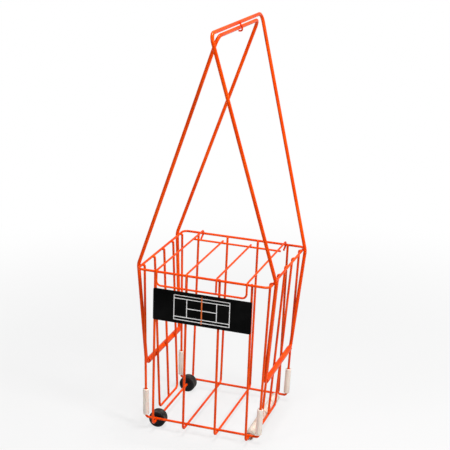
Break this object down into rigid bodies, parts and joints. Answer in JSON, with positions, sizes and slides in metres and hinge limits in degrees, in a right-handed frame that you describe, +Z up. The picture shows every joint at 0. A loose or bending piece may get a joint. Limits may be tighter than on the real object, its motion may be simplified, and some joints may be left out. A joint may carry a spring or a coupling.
{
  "type": "tennis ball hopper",
  "caption": "Welded wire ball hopper with a wire lid, a bare sign plate, wheels and a roller, and tall wire handles that fold down as legs.",
  "frame": {"origin": "floor point under the middle of the basket's rim and grips", "axes": "X left to right, the front with the sign plate faces -Y, Z up; the floor is z = 0"},
  "size_m": [0.2836, 0.3194, 0.809],
  "materials": {
    "basket_paint": "glossy powder coat",
    "lid_paint": "glossy powder coat",
    "handle_paint": "glossy powder coat",
    "sleeve_plastic": "satin",
    "roller_plastic": "satin",
    "sign_plastic": "satin",
    "wheel_rubber": "matte"
  },
  "bodies": {
    "basket": {"top_rim": "basket_paint", "front_post_frame": "basket_paint", "back_post_frame": "basket_paint", "floor_bar_1": "basket_paint", "floor_bar_2": "basket_paint", "floor_bar_3": "basket_paint", "floor_bar_4": "basket_paint", "left_side_loop": "basket_paint", "right_side_loop": "basket_paint", "left_side_wire": "basket_paint", "right_side_wire": "basket_paint", "left_pivot_tube": "basket_paint", "right_pivot_tube": "basket_paint", "sleeve_front_left": "sleeve_plastic", "sleeve_front_right": "sleeve_plastic", "sleeve_back_left": "sleeve_plastic", "sleeve_back_right": "sleeve_plastic", "sign_plate": "sign_plastic"},
    "lid": {"lid_loop": "lid_paint", "lid_wire_left": "lid_paint", "lid_wire_right": "lid_paint", "lid_cross_bar": "lid_paint"},
    "right_handle": {"right_handle": "handle_paint", "grip_catch": "handle_paint"},
    "left_handle": {"left_handle": "handle_paint"},
    "front_wheel": {"front_wheel": "wheel_rubber"},
    "back_wheel": {"back_wheel": "wheel_rubber"},
    "roller": {"roller": "roller_plastic"}
  },
  "joints": [
    {"name": "lid_hinge", "type": "hinge", "parent": "basket", "child": "lid", "pos_m": [-0.00004, 0.131, 0.34072], "axis": [-0.9991, 0, 0.0412], "range_deg": [0, 75]},
    {"name": "right_handle_hinge", "type": "hinge", "parent": "basket", "child": "right_handle", "pos_m": [0.11419, 0, 0.12783], "axis": [0, 1, 0], "range_deg": [0, 166]},
    {"name": "left_handle_hinge", "type": "hinge", "parent": "basket", "child": "left_handle", "pos_m": [-0.13143, 0, 0.13797], "axis": [0, -1, 0], "range_deg": [0, 166]},
    {"name": "front_wheel_spin", "type": "hinge", "parent": "basket", "child": "front_wheel", "pos_m": [-0.11048, -0.0894, 0.017], "axis": [0, 1, 0], "continuous": true},
    {"name": "back_wheel_spin", "type": "hinge", "parent": "basket", "child": "back_wheel", "pos_m": [-0.11048, 0.0894, 0.017], "axis": [0, 1, 0], "continuous": true},
    {"name": "roller_spin", "type": "hinge", "parent": "basket", "child": "roller", "pos_m": [0.08335, 0, 0.009], "axis": [0, 1, 0], "continuous": true}
  ]
}
